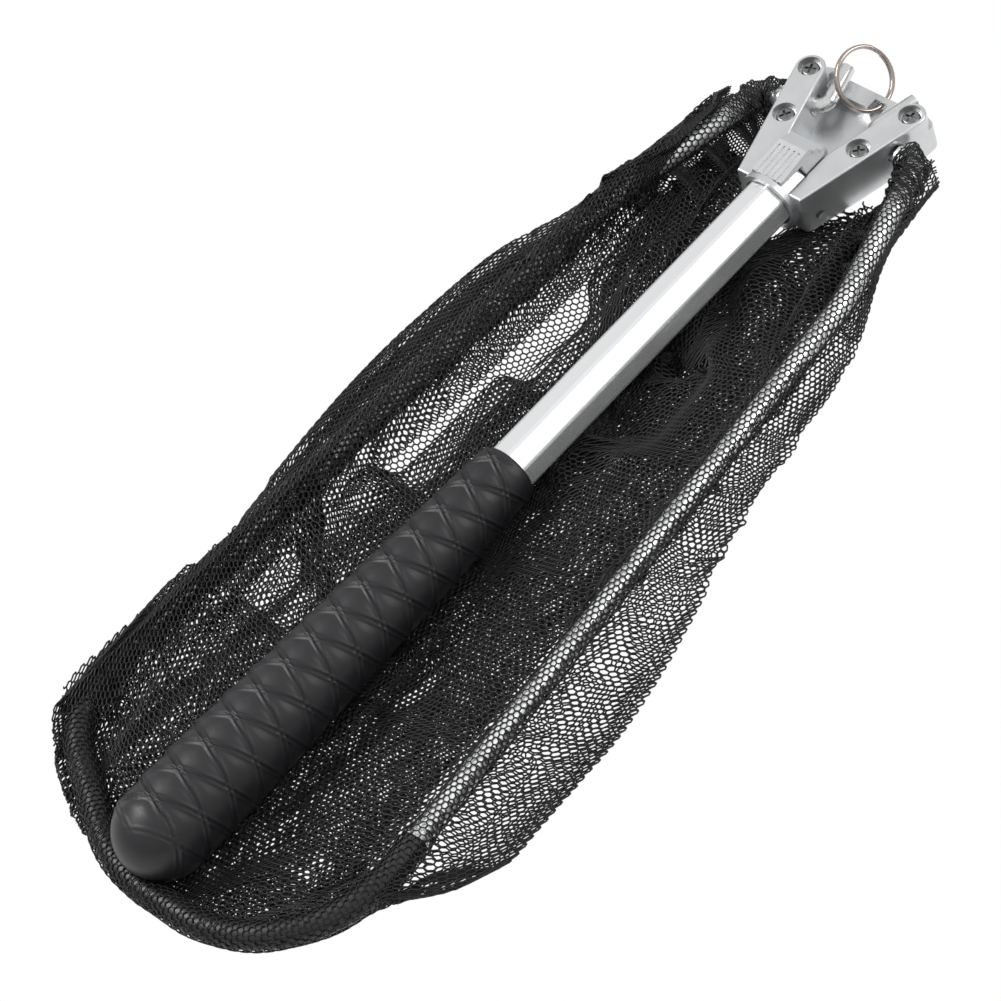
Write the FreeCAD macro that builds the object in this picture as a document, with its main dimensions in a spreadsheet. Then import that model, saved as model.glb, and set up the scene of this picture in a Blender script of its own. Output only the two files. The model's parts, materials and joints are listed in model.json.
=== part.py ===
"""Folding landing net: cast head, faceted tube with a rubber grip, hinged hoop, thumb latch, net.

Working frame of every sub-part: X along the handle towards the head, Y to the left, Z up,
zero on the handle's axis in the middle of the head. A last shift puts the
whole net on the ground with its origin below the middle of its bounding box.
"""
import FreeCAD
import Part
import Sketcher
import math
import os
import re

DIMENSIONS = {
    # handle tube: eight flats, turned a little about its own axis
    "tube_flats": 19.2, "tube_corner": 2.5, "tube_wall": 1.3, "tube_turn": 10.5,
    "tube_head_end": -27.0, "tube_butt_end": -375.0, "plug_depth": 12.0, "plug_flange": 1.5,
    # rubber grip
    "grip_top": -187.2, "grip_top_dia": 24.4, "grip_butt_dia": 35.6, "grip_full": -340.0,
    "dome_centre": -372.7, "grip_bore": 20.9, "grip_lip": 1.0,
    # cast head
    "arm_angle": 16.0, "arm_mid_x": 4.4, "arm_mid_y": 21.3, "arm_width": 12.0, "arm_height": 7.5,
    "screw_spacing": 23.7, "side_step": 0.9,
    "side_reach": "=arm_mid_y + arm_width / 2 + side_step", "side_end_x": 13.0, "head_back": -38.0,
    "head_front": 24.4, "head_depth": 13.0, "floor_depth": 8.5, "lip_back": 17.0,
    "lip_depth": 3.3, "channel_width": 19.0, "channel_front": -15.0, "corner_x": 21.0,
    "corner_y": 30.6, "corner_in": 21.0, "collar_length": 2.4, "collar_dia": 25.2,
    "socket_bore": 20.9, "ring_notch": 6.4, "ring_web": 2.5, "ring_hole": 4.4,
    "ring_y": -3.4, "ring_depth": 6.1,
    # clamp screws and the rivet through the tube
    "screw_dia": 4.0, "screw_head_dia": 7.4, "screw_head_height": 2.2, "screw_length": 16.0,
    "bore_dia": 9.4, "bore_depth": 3.4, "recess_width": 1.0, "recess_span": 4.6,
    "recess_depth": 1.2, "rivet_dia": 3.2, "rivet_x": -32.0, "rivet_drop": 5.0,
    # hinge bars and their bushes
    "bar_dia": 6.0, "bar_bend": 4.0, "finger_offset": 10.6, "finger_length": 20.0,
    "bush_dia": 8.0, "bush_inner": 6.5, "fit": 0.05, "gap": 0.3,
    # thumb latch
    "latch_front": -13.5, "latch_back": -37.6, "latch_half": 9.1, "latch_top": 13.4,
    "latch_back_top": 12.0, "latch_low_top": 8.4, "latch_crest": -21.5, "latch_travel": 5.0,
    "lip_under": 3.4, "keel_front": -18.4, "keel_back": -26.4,
    "tooth_dip": 0.9, "latch_front_half": 7.8, "latch_top_half": 6.6, "rib_pitch": 2.4,
    "rib_groove": 1.0, "rib_depth": 0.7, "tube_gap": 0.4,
    "keel_screw_x": -22.4, "keel_screw_dia": 4.0, "keel_head_dia": 7.0, "keel_head_height": 1.5,
    "keel_washer_dia": 8.0, "keel_washer": 0.6, "floor_web": 2.0,
    "ball_dia": 2.4, "ball_x": -19.6, "ball_y": 6.4, "ball_well": 1.9, "spring_wire": 0.45,
    # hoop
    "hoop_tilt": 1.7, "rod_dia": 8.0, "rod_bore": 6.1, "stub": 8.8, "rod_bend": 7.0,
    "shoulder_x": -64.3, "shoulder_y": 54.5, "shoulder_bend": 90.0,
    "rod_end_x": -338.3, "rod_end_y": 75.5, "loop_dia": 10.2, "loop_bore": 8.1,
    "loop_reach": 58.5, "loop_bend": 52.0, "loop_lap": 14.0, "core_dia": 6.0, "core_lap": 30.0,
    "hem_thickness": 0.8, "hem_slack": 0.35, "hem_start": 1.5,
    # net
    "net_height": 9.0, "net_clear": 1.5, "head_sweep": 46.0, "head_sweep_half": 50.0,
    # split ring
    "ring_radius": 11.5, "ring_wire": 1.8, "ring_lean": 33.0, "ring_pitch": 1.5,
    # set after the first recompute, from the solids themselves
    "shift_x": 0.0, "shift_y": 0.0,
}

# plan of the flattened net, as shares of the hoop's length and of its half width at the rods' ends
NET_PLAN = [(0.01, 0.874), (0.151, 1.02), (0.265, 1.152), (0.378, 1.219), (0.542, 1.258),
            (0.732, 1.298), (0.812, 1.285), (0.87, 1.113), (0.959, 0.874), (0.994, 0.397)]

doc = FreeCAD.newDocument("LandingNet")
sheet = doc.addObject("Spreadsheet::Sheet", "sizes")
for row, (alias, number) in enumerate(DIMENSIONS.items(), start=1):
    sheet.set("A%d" % row, alias)
    sheet.set("B%d" % row, str(number))
    sheet.setAlias("B%d" % row, alias)
doc.recompute()

ALIAS = re.compile(r"\b(" + "|".join(sorted(DIMENSIONS, key=len, reverse=True)) + r")\b")
SUB_PARTS = []


def size(alias):
    """Value of one named cell of the sheet."""
    return float(sheet.get(alias))


def bind(obj, **formulas):
    """Tie properties to formulas on the sheet's cells; a double underscore stands for a dot."""
    for prop, formula in formulas.items():
        obj.setExpression(prop.replace("__", "."), ALIAS.sub(r"sizes.\1", str(formula)))


def vector(x, y, z=0.0):
    return FreeCAD.Vector(x, y, z)


# ---------------------------------------------------------------- Part primitives
def cylinder(name, radius, length, at=("0", "0", "0"), axis=(0, 0, 1), swing=None):
    """Cylinder from at along axis; swing turns it about Z by a formula in degrees."""
    obj = doc.addObject("Part::Cylinder", name)
    bind(obj, Radius=radius, Height=length)
    place(obj, at, axis, swing)
    return obj


def place(obj, at, axis=(0, 0, 1), swing=None):
    turn = FreeCAD.Rotation(vector(0, 0, 1), vector(*axis))
    if swing is not None:
        turn = FreeCAD.Rotation(vector(0, 0, 1), swing).multiply(turn)
    obj.Placement = FreeCAD.Placement(vector(0, 0, 0), turn)
    bind(obj, Placement__Base__x=at[0], Placement__Base__y=at[1], Placement__Base__z=at[2])


def box(name, low, high):
    obj = doc.addObject("Part::Box", name)
    bind(obj, Length="(%s) - (%s)" % (high[0], low[0]), Width="(%s) - (%s)" % (high[1], low[1]),
         Height="(%s) - (%s)" % (high[2], low[2]))
    bind(obj, Placement__Base__x=low[0], Placement__Base__y=low[1], Placement__Base__z=low[2])
    return obj


def cut(name, base, *tools):
    for count, tool in enumerate(tools):
        obj = doc.addObject("Part::Cut", name if count == len(tools) - 1 else name + "_step")
        obj.Base = base
        obj.Tool = tool
        base = obj
    return base


def fuse(name, *shapes):
    obj = doc.addObject("Part::MultiFuse", name)
    obj.Shapes = list(shapes)
    return obj


def finished(obj, label, group="handle", at=("0", "0", "0")):
    """Name a finished sub-part; at is where its own zero lies in the working frame."""
    obj.Label = label
    SUB_PARTS.append((obj, group, at))
    return obj


def shape_part(label, shape, group="handle", at=("0", "0", "0")):
    """A sub-part whose shape Part's own functions make from the sheet's values."""
    obj = doc.addObject("Part::Feature", label)
    obj.Shape = shape
    return finished(obj, label, group, at)


# ---------------------------------------------------------------- PartDesign helpers
def new_body(label):
    return doc.addObject("PartDesign::Body", label)


def sketch(body, name, role, outline=(), circles=(), level="0"):
    """Sketch on an origin plane; every corner and circle is tied to the sheet's cells."""
    drawing = body.newObject("Sketcher::SketchObject", name)
    plane = [f for f in body.Origin.OriginFeatures if f.Role == role][0]
    drawing.AttachmentSupport = [(plane, "")]
    drawing.MapMode = "FlatFace"
    bind(drawing, AttachmentOffset__Base__z=level)
    count = len(outline)
    ring = [vector(10 * math.cos(2 * math.pi * i / max(count, 1)),
                   10 * math.sin(2 * math.pi * i / max(count, 1))) for i in range(count)]
    for i in range(count):
        drawing.addGeometry(Part.LineSegment(ring[i], ring[(i + 1) % count]))
    for i in range(count):
        drawing.addConstraint(Sketcher.Constraint("Coincident", i, 2, (i + 1) % count, 1))
    for i, corner in enumerate(outline):
        fix_point(drawing, i, 1, corner)
    for x, y, radius in circles:
        number = drawing.addGeometry(Part.Circle(vector(0, 0), vector(0, 0, 1), 1.0))
        fix_point(drawing, number, 3, (x, y))
        index = drawing.addConstraint(Sketcher.Constraint("Radius", number, 1.0))
        bind(drawing, **{"Constraints[%d]" % index: radius})
    return drawing


def fix_point(drawing, geometry, point, corner):
    for kind, formula in zip(("DistanceX", "DistanceY"), corner):
        index = drawing.addConstraint(Sketcher.Constraint(kind, -1, 1, geometry, point, 1.0))
        bind(drawing, **{"Constraints[%d]" % index: formula})


def pad(body, name, drawing, length, both=False, back=False):
    feature = body.newObject("PartDesign::Pad", name)
    feature.Profile = drawing
    feature.Midplane = both
    feature.Reversed = back
    bind(feature, Length=length)
    body.Tip = feature
    return feature


def pocket(body, name, drawing, length=None, both=False, back=False):
    """Pocket into the body; without a length it goes through everything both ways."""
    doc.recompute()
    before = body.Shape.Volume
    feature = body.newObject("PartDesign::Pocket", name)
    feature.Profile = drawing
    feature.Midplane = both or length is None
    feature.Reversed = back
    bind(feature, Length=length if length else "400")
    body.Tip = feature
    doc.recompute()
    if not body.Shape.Volume < before - 1e-3:
        raise ValueError("%s removed nothing" % name)
    return feature


def round_edges(body, name, radius, chosen):
    """Fillet of the edges that chosen(edge) accepts."""
    doc.recompute()
    base = body.Tip
    names = ["Edge%d" % (i + 1) for i, edge in enumerate(base.Shape.Edges) if chosen(edge)]
    feature = body.newObject("PartDesign::Fillet", name)
    feature.Base = (base, names)
    bind(feature, Radius=radius)
    body.Tip = feature
    return feature


def upright(edge):
    """True for a straight vertical edge."""
    a, b = edge.Vertexes[0].Point, edge.Vertexes[-1].Point
    return len(edge.Vertexes) == 2 and math.hypot(a.x - b.x, a.y - b.y) < 1e-6


def at_height(edge, z):
    box_of_edge = edge.BoundBox
    return abs(box_of_edge.ZMin - z) < 1e-6 and abs(box_of_edge.ZMax - z) < 1e-6


# ---------------------------------------------------------------- places worked out once
ANGLE = math.radians(size("arm_angle"))
ALONG = (math.cos(ANGLE), math.sin(ANGLE))
ACROSS = (-math.sin(ANGLE), math.cos(ANGLE))
HINGE_X = "arm_mid_x - (side_reach - arm_mid_y) * tan(arm_angle * 1deg)"
C, S = "cos(arm_angle * 1deg)", "sin(arm_angle * 1deg)"


def arm_point(along, out, side=1):
    """Formulas of a point given along the left arm's line and outwards from it."""
    x = "arm_mid_x + (%s) * %s - (%s) * %s" % (along, C, out, S)
    y = "(arm_mid_y + (%s) * %s + (%s) * %s) * %d" % (along, S, out, C, side)
    return x, y


def outer_line_y(x, out="arm_width / 2"):
    """Formula of how far from the middle the outer side of the left arm is at x."""
    return "arm_mid_y + (%s) / %s + ((%s) - arm_mid_x) * tan(arm_angle * 1deg)" % (out, C, x)


def arm_vector(along, out, side, z=0.0):
    """The same point as arm_point, as numbers."""
    return vector(size("arm_mid_x") + along * ALONG[0] + out * ACROSS[0],
                  side * (size("arm_mid_y") + along * ALONG[1] + out * ACROSS[1]), z)


SIDES = {"left": 1, "right": -1}


# ---------------------------------------------------------------- handle
def octagon(flats, corner):
    """Face of a rounded octagon about the X axis, turned about it."""
    reach = flats / 2 / math.cos(math.pi / 8)
    turn = math.radians(size("tube_turn")) + math.pi / 8
    corners = [vector(0, reach * math.sin(turn + i * math.pi / 4),
                      reach * math.cos(turn + i * math.pi / 4)) for i in range(9)]
    wire = Part.makePolygon(corners)
    prism = Part.Face(wire).extrude(vector(1, 0, 0))
    long_edges = [e for e in prism.Edges if abs(e.Vertexes[0].X - e.Vertexes[-1].X) > 0.5]
    rounded = prism.makeFillet(corner, long_edges)
    return [f for f in rounded.Faces if abs(f.normalAt(0, 0).x + 1) < 1e-6][0]


def make_tube():
    start, end = size("tube_butt_end"), size("tube_head_end")
    run = vector(end - start, 0, 0)
    outer = octagon(size("tube_flats"), size("tube_corner"))
    wall = size("tube_wall")
    inner = octagon(size("tube_flats") - 2 * wall, size("tube_corner") - wall)
    shape = outer.extrude(run).cut(inner.extrude(run))
    shape.translate(vector(start, 0, 0))
    hole = Part.makeCylinder(size("rivet_dia") / 2 + size("fit"), 40,
                             vector(size("rivet_x"), -20, -size("rivet_drop")), vector(0, 1, 0))
    shape_part("handle_tube", shape.cut(hole))


def make_plug():
    bore = "tube_flats / 2 - tube_wall - fit"
    stem = cylinder("plug_stem", bore, "plug_depth", ("tube_butt_end", "0", "0"), (1, 0, 0))
    flange = cylinder("plug_rim", "tube_flats / 2", "plug_flange",
                      ("tube_butt_end - plug_flange - fit", "0", "0"), (1, 0, 0))
    neck = cylinder("plug_neck", bore, "fit * 2", ("tube_butt_end - fit * 2", "0", "0"), (1, 0, 0))
    finished(fuse("tube_plug", stem, flange, neck), "tube_plug")


def make_grip():
    body = new_body("grip_wall")
    top, butt = "grip_top_dia / 2", "grip_butt_dia / 2"
    bore = "grip_bore / 2"
    end = "tube_butt_end - plug_flange - 0.5"
    outline = [("grip_top", bore), ("grip_top", top + " - grip_lip"),
               ("grip_top - grip_lip", top), ("grip_full", butt),
               ("dome_centre", butt), (end, butt), (end, bore)]
    drawing = sketch(body, "grip_section", "XY_Plane", outline)
    wall = body.newObject("PartDesign::Revolution", "grip_turned")
    wall.Profile = drawing
    wall.ReferenceAxis = (drawing, ["H_Axis"])
    wall.Angle = 360
    body.Tip = wall
    dome = doc.addObject("Part::Sphere", "grip_dome")
    bind(dome, Radius="grip_butt_dia / 2", Placement__Base__x="dome_centre")
    inside = cylinder("grip_hollow", bore, "60", (end, "0", "0"), (1, 0, 0))
    hollow_dome = cut("grip_cap", dome, inside)
    finished(fuse("grip", body, hollow_dome), "rubber_grip")


def make_rivet():
    reach = outer_line_y("rivet_x") + " - 0.2"
    at = ("rivet_x", "-(%s)" % reach, "-rivet_drop")
    rivet = cylinder("rivet", "rivet_dia / 2", "2 * (%s)" % reach, at, (0, 1, 0))
    finished(rivet, "tube_rivet", at=at)


# ---------------------------------------------------------------- cast head
def make_head_base():
    body = new_body("head_casting")
    half = [("head_front", "corner_in"), ("corner_x", "corner_y"),
            ("side_end_x", outer_line_y("side_end_x")),
            ("head_back", outer_line_y("head_back"))]
    outline = half + [(x, "-(%s)" % y) for x, y in reversed(half)]
    pad(body, "plate", sketch(body, "plate_plan", "XY_Plane", outline), "head_depth", back=True)
    round_edges(body, "plate_corners", "3.5", upright)
    bottom = -size("head_depth")
    round_edges(body, "plate_belly", "3.2", lambda edge: at_height(edge, bottom))
    inside = outer_line_y("lip_back", "-arm_width / 2")
    inner = [("lip_back", "-(%s)" % inside), ("lip_back", inside),
             ("channel_front", "channel_width / 2"), ("tube_head_end", "channel_width / 2"),
             ("tube_head_end", "-channel_width / 2"), ("channel_front", "-channel_width / 2")]
    pocket(body, "tray", sketch(body, "tray_plan", "XY_Plane", inner), "floor_depth")
    lip = [("lip_back - 1", "-corner_in"), ("head_front + 5", "-corner_in"),
           ("head_front + 5", "corner_in"), ("lip_back - 1", "corner_in")]
    pocket(body, "lip_top", sketch(body, "lip_plan", "XY_Plane", lip), "lip_depth")
    web = "head_front - ring_web"
    notch = [("lip_back - 1", "ring_y - ring_notch / 2"), (web, "ring_y - ring_notch / 2"),
             (web, "ring_y + ring_notch / 2"), ("lip_back - 1", "ring_y + ring_notch / 2")]
    pocket(body, "ring_seat", sketch(body, "notch_plan", "XY_Plane", notch), "floor_depth")
    slot_back, slot_front = "keel_screw_x", "keel_screw_x + latch_travel"
    for name, width, low, high in (
            ("screw_slot", "keel_screw_dia / 2 + gap", "-head_depth - 1", "0"),
            ("head_slot", "keel_washer_dia / 2 + gap", "-head_depth - 1",
             "-floor_depth - floor_web")):
        ends = [cylinder(name + "_end", width, "(%s) - (%s)" % (high, low), (x, "0", low))
                for x in (slot_back, slot_front)]
        middle = box(name + "_middle", (slot_back, "-(%s)" % width, low), (slot_front, width, high))
        fuse(name, *ends, middle)
    bores = [cylinder("journal_bore", "bush_dia / 2 + fit", "45",
                      arm_point("0", "-arm_width", side) + ("0",), (0, side, 0),
                      side * size("arm_angle")) for side in SIDES.values()]
    collar = cylinder("collar", "collar_dia / 2", "collar_length",
                      ("head_back - collar_length", "0", "0"), (1, 0, 0))
    socket = cylinder("socket", "socket_bore / 2", "tube_head_end - head_back + 10",
                      ("head_back - 10", "0", "0"), (1, 0, 0))
    rivet = cylinder("rivet_hole", "rivet_dia / 2 + fit", "60",
                     ("rivet_x", "-30", "-rivet_drop"), (0, 1, 0))
    ring_hole = cylinder("ring_bore", "ring_hole / 2", "20",
                         ("lip_back", "ring_y", "-ring_depth"), (1, 0, 0))
    ball_hole = cylinder("ball_bore", "ball_dia / 2 + fit", "floor_web + ball_well + 1",
                         ("ball_x", "ball_y", "-floor_depth - floor_web - ball_well"))
    pilots = [cylinder("pilot", "screw_dia / 2 + fit", "head_depth + 1",
                       arm_point(where, "0", side) + ("-head_depth + 1",))
              for side in SIDES.values() for where in ("screw_spacing / 2", "-screw_spacing / 2")]
    whole = fuse("casting_blank", body, collar)
    slots = [doc.getObject("screw_slot"), doc.getObject("head_slot")]
    finished(cut("head_base", whole, socket, rivet, ring_hole, ball_hole,
                 *bores, *pilots, *slots), "head_base")


def arm_prism(name, side):
    """Straight bar with a round tip along one arm, standing on the parting plane."""
    low = "0"
    half = "(arm_width / 2)"
    swing = side * size("arm_angle")
    x, y = arm_point("-80", "-(%s)" % half if side > 0 else half, side)
    bar = doc.addObject("Part::Box", name + "_bar")
    bind(bar, Length="80 + screw_spacing / 2", Width="2 * %s" % half, Height="arm_height")
    place(bar, (x, y, low), (0, 0, 1), swing)
    tip = cylinder(name + "_tip", half, "arm_height",
                   arm_point("screw_spacing / 2", "0", side) + (low,))
    return fuse(name, bar, tip)


def make_arms():
    for name, side in SIDES.items():
        blank = arm_prism(name + "_arm_blank", side)
        behind = box(name + "_behind", ("-120", "-60", "-20"), ("head_back", "60", "20"))
        reach = "channel_width / 2"
        if side > 0:
            low, high = "-60", reach
        else:
            low, high = "-" + reach, "60"
        channel = box(name + "_channel", ("-120", low, "-20"), ("60", high, "20"))
        socket = cylinder(name + "_tube_room", "socket_bore / 2", "100",
                          ("-110", "0", "0"), (1, 0, 0))
        journal = cylinder(name + "_journal", "bush_dia / 2 + fit", "45",
                           arm_point("0", "-arm_width", side) + ("0",), (0, side, 0),
                           side * size("arm_angle"))
        holes = []
        for where in ("screw_spacing / 2", "-screw_spacing / 2"):
            at = arm_point(where, "0", side)
            holes.append(cylinder(name + "_hole", "screw_dia / 2 + 0.15", "arm_height + 2",
                                  at + ("-1",)))
            holes.append(cylinder(name + "_counterbore", "bore_dia / 2", "bore_depth + 1",
                                  at + ("arm_height - bore_depth",)))
        rough = cut(name + "_arm_rough", blank, behind, channel, socket, journal, *holes)
        doc.recompute()
        top = size("arm_height")
        picked = [i + 1 for i, edge in enumerate(rough.Shape.Edges)
                  if at_height(edge, top) and edge.Length > 4 and not full_circle(edge)]
        arm = doc.addObject("Part::Fillet", name + "_arm")
        arm.Base = rough
        arm.Edges = [(i, 0.9, 0.9) for i in picked]
        finished(arm, name + "_arm")


def full_circle(edge):
    return len(edge.Vertexes) == 1


def make_screws():
    """Four pan-head screws with a cross recess, alike, in one node."""
    radius, head = size("screw_dia") / 2, size("screw_head_dia") / 2
    seat = size("arm_height") - size("bore_depth")
    rise = size("screw_head_height")
    shank = Part.makeCylinder(radius, size("screw_length"), vector(0, 0, seat - size("screw_length")))
    pan = Part.makeCylinder(head, rise, vector(0, 0, seat))
    rim = [e for e in pan.Edges if full_circle(e) and e.BoundBox.ZMin > seat + rise / 2]
    pan = pan.makeFillet(rise * 0.55, rim)
    span, width, depth = size("recess_span"), size("recess_width"), size("recess_depth")
    bar = Part.makeBox(span, width, depth + 1, vector(-span / 2, -width / 2, seat + rise - depth))
    cross = bar.fuse(bar.rotated(vector(0, 0, 0), vector(0, 0, 1), 90))
    screw = shank.fuse(pan).cut(cross).removeSplitter()
    screws = []
    for count, (side, where) in enumerate((s, w) for s in SIDES.values() for w in (0.5, -0.5)):
        copy = screw.rotated(vector(0, 0, 0), vector(0, 0, 1), 20 + 37 * count)
        copy.translate(arm_vector(where * size("screw_spacing"), 0, side))
        screws.append(copy)
    shape_part("clamp_screws", Part.makeCompound(screws))


def make_bushes():
    for name, side in SIDES.items():
        swing = side * size("arm_angle")
        axis = (0, side, 0)
        long = "bush_inner + arm_width / 2 - fit"
        at = arm_point("0", "-bush_inner", side) + ("0",)
        sleeve = cylinder(name + "_bush_sleeve", "bush_dia / 2", long, at, axis, swing)
        hole = cylinder(name + "_bush_hole", "bar_dia / 2 + fit", "60",
                        arm_point("0", "-20", side) + ("0",), axis, swing)
        finished(cut(name + "_pivot_bush", sleeve, hole), name + "_pivot_bush")


def make_hinge_bars():
    """Each bar turns in its bush; inside the head it bends square, along its arm."""
    radius, bend = size("bar_dia") / 2, size("bar_bend")
    outer = size("arm_width") / 2 - 2 * size("fit")
    inner = -size("finger_offset") + bend
    middle = bend * (1 - math.sqrt(0.5))
    for name, side in SIDES.items():
        a = arm_vector(0, outer, side)
        b = arm_vector(0, inner, side)
        m = arm_vector(middle, inner - bend + middle, side)
        c = arm_vector(bend, inner - bend, side)
        d = arm_vector(size("finger_length"), inner - bend, side)
        arc = Part.Arc(b, m, c).toShape()
        path = Part.Wire([Part.LineSegment(a, b).toShape(), arc, Part.LineSegment(c, d).toShape()])
        profile = Part.Wire(Part.Circle(a, b - a, radius).toShape())
        bar = path.makePipeShell([profile], True, True)
        shape_part(name + "_hinge_bar", bar, name + "_bar")


# ---------------------------------------------------------------- thumb latch
def make_latch():
    body = new_body("latch_casting")
    steps = 3
    crest, front = "latch_crest", "latch_front"
    run = "(latch_front - latch_crest) / %d" % steps
    drop = "(latch_top - latch_low_top) / %d" % steps
    profile = [("latch_back", "tube_flats / 2 + 1.3"), ("latch_back", "latch_back_top"),
               (crest, "latch_top")]
    for i in range(1, steps + 1):
        x = "%s + (%s) * %d" % (crest, run, i)
        height = "latch_top - (%s) * %d" % (drop, i - 1)
        profile.append((x + " - (%s) * 0.3" % run, height + " - tooth_dip * 0.35"))
        if i < steps:
            profile.append((x + " - (%s) * 0.3 - 0.3" % run, height + " - (%s) - tooth_dip" % drop))
            profile.append((x, "latch_top - (%s) * %d" % (drop, i)))
    profile += [(front, "latch_low_top - 1.2"), (front, "lip_under"), ("keel_front", "lip_under"),
                ("keel_front", "-floor_depth + gap"), ("keel_back", "-floor_depth + gap"),
                ("keel_back", "tube_flats / 2 + 1.3")]
    drawing = sketch(body, "latch_side", "XZ_Plane", profile)
    pad(body, "latch_blank", drawing, "2 * latch_half", both=True)
    for side in SIDES.values():
        slope = [("%d * latch_top_half" % side, "latch_top + 3"),
                 ("%d * latch_top_half" % side, "latch_top"),
                 ("%d * latch_half" % side, "arm_height + 0.2"),
                 ("%d * (latch_half + 4)" % side, "arm_height + 0.2"),
                 ("%d * (latch_half + 4)" % side, "latch_top + 3")]
        pocket(body, "side_slope", sketch(body, "slope_end", "YZ_Plane", slope))
        nose = [("latch_front + 2", "%d * latch_front_half" % side),
                ("latch_front - 6.5", "%d * (latch_half + 1)" % side),
                ("latch_front + 2", "%d * (latch_half + 1)" % side)]
        pocket(body, "nose_taper", sketch(body, "nose_plan", "XY_Plane", nose))
        tail = [("latch_back - 2", "%d * latch_top_half" % side),
                ("latch_back + 14", "%d * (latch_half + 1)" % side),
                ("latch_back - 2", "%d * (latch_half + 1)" % side)]
        pocket(body, "tail_taper", sketch(body, "tail_plan", "XY_Plane", tail))
    grooves = []
    rise = math.degrees(math.atan2(size("latch_top") - size("latch_back_top"),
                                   size("latch_crest") - size("latch_back")))
    for count in range(-2, 3):
        groove = doc.addObject("Part::Box", "thumb_groove")
        bind(groove, Length="latch_crest - latch_back - 0.8", Width="rib_groove", Height="3")
        groove.Placement = FreeCAD.Placement(vector(0, 0, 0),
                                             FreeCAD.Rotation(vector(0, 1, 0), -rise))
        bind(groove, Placement__Base__x="latch_back - 1",
             Placement__Base__y="%d * rib_pitch - rib_groove / 2" % count,
             Placement__Base__z="latch_back_top - rib_depth")
        grooves.append(groove)
    thread = cylinder("latch_thread", "keel_screw_dia / 2 + fit", "8",
                      ("keel_screw_x", "0", "-floor_depth"))
    dimples = []
    for x in ("ball_x", "ball_x - latch_travel"):
        dimple = doc.addObject("Part::Sphere", "dimple")
        bind(dimple, Radius="ball_dia / 2", Placement__Base__x=x, Placement__Base__y="ball_y",
             Placement__Base__z="-floor_depth + gap - ball_dia * 0.3")
        dimples.append(dimple)
    tube_room = cylinder("latch_tube_room", "socket_bore / 2 + tube_gap", "60",
                         ("tube_head_end - 60", "0", "0"), (1, 0, 0))
    finished(cut("thumb_latch", body, thread, tube_room, *grooves, *dimples),
             "thumb_latch", "latch")


def make_latch_fixings():
    seat = "-floor_depth - floor_web"
    shank = cylinder("latch_screw_shank", "keel_screw_dia / 2", "7.5 + floor_web + keel_washer",
                     ("keel_screw_x", "0", seat + " - keel_washer - 0.1"))
    head = cylinder("latch_screw_head", "keel_head_dia / 2", "keel_head_height",
                    ("keel_screw_x", "0", seat + " - keel_washer - 0.1 - keel_head_height"))
    slot = box("latch_screw_slot", ("keel_screw_x - 5", "-0.5", "-head_depth - 5"),
               ("keel_screw_x + 5", "0.5", seat + " - keel_washer - keel_head_height + 0.7"))
    finished(cut("latch_screw", fuse("latch_screw_blank", shank, head), slot),
             "latch_screw", "latch")
    ring = cylinder("washer_disc", "keel_washer_dia / 2", "keel_washer",
                    ("keel_screw_x", "0", seat + " - keel_washer - 0.08"))
    hole = cylinder("washer_hole", "keel_screw_dia / 2 + fit", "keel_washer + 2",
                    ("keel_screw_x", "0", seat + " - keel_washer - 1"))
    finished(cut("latch_washer", ring, hole), "latch_washer", "latch")


def make_detent():
    """Ball pressed up by a small coil spring; it drops into a dimple at each end of travel."""
    ball = doc.addObject("Part::Sphere", "ball")
    bind(ball, Radius="ball_dia / 2")
    finished(ball, "detent_ball", at=("ball_x", "ball_y", "-floor_depth + gap - ball_dia / 2 - 0.1"))
    wire = size("spring_wire")
    low = -size("floor_depth") - size("floor_web") - size("ball_well") + wire
    seat = "-floor_depth - floor_web - ball_well + spring_wire"
    radius = size("ball_dia") / 2 - wire
    high = -size("floor_depth") + size("gap") - size("ball_dia") - 0.1 - wire * 0.2
    turns = 2
    helix = Part.makeHelix((high - low) / turns, high - low, radius)
    start = vector(radius, 0, 0)
    profile = Part.Wire(Part.Circle(start, vector(0, 1, 0), wire / 2).toShape())
    spring = Part.Wire(helix).makePipeShell([profile], True, True)
    shape_part("detent_spring", spring, at=("ball_x", "ball_y", seat))


# ---------------------------------------------------------------- hoop
def hoop_half_path(side, skip=0.0):
    """Centre line of one rod in the hoop's plane: stub, bend back, shoulder, straight run."""
    start = vector(0, side * (size("side_reach") + size("gap") + skip))
    corner = vector(0, side * (size("side_reach") + size("gap") + size("stub")))
    shoulder = vector(size("shoulder_x"), side * size("shoulder_y"))
    end = vector(size("rod_end_x"), side * size("rod_end_y"))
    return rounded([start, corner, shoulder, end], [size("rod_bend"), size("shoulder_bend")])


def rounded(points, radii):
    """Straight runs joined by tangent arcs, as one list of edges."""
    edges, here = [], points[0]
    for before, corner, after, radius in zip(points, points[1:], points[2:], radii):
        back = (before - corner).normalize()
        ahead = (after - corner).normalize()
        half = back.getAngle(ahead) / 2
        reach = radius / math.tan(half)
        first, last = corner + back * reach, corner + ahead * reach
        centre = corner + (back + ahead).normalize() * (radius / math.sin(half))
        middle = centre + (corner - centre).normalize() * radius
        edges.append(Part.LineSegment(here, first).toShape())
        edges.append(Part.Arc(first, middle, last).toShape())
        here = last
    edges.append(Part.LineSegment(here, points[-1]).toShape())
    return edges


def loop_path(lap):
    """Centre line of the flexible loop: straight laps on both rods and a round end."""
    slope = (size("rod_end_y") - size("shoulder_y")) / (size("rod_end_x") - size("shoulder_x"))
    y_at = lambda x: size("rod_end_y") + slope * (x - size("rod_end_x"))
    start_x = size("rod_end_x") + lap
    bend = size("loop_bend")
    far = size("rod_end_x") - size("loop_reach")
    left = [vector(start_x, y_at(start_x)), vector(far, y_at(far)), vector(far, -y_at(far)),
            vector(start_x, -y_at(start_x))]
    return rounded(left, [bend, bend])


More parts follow.
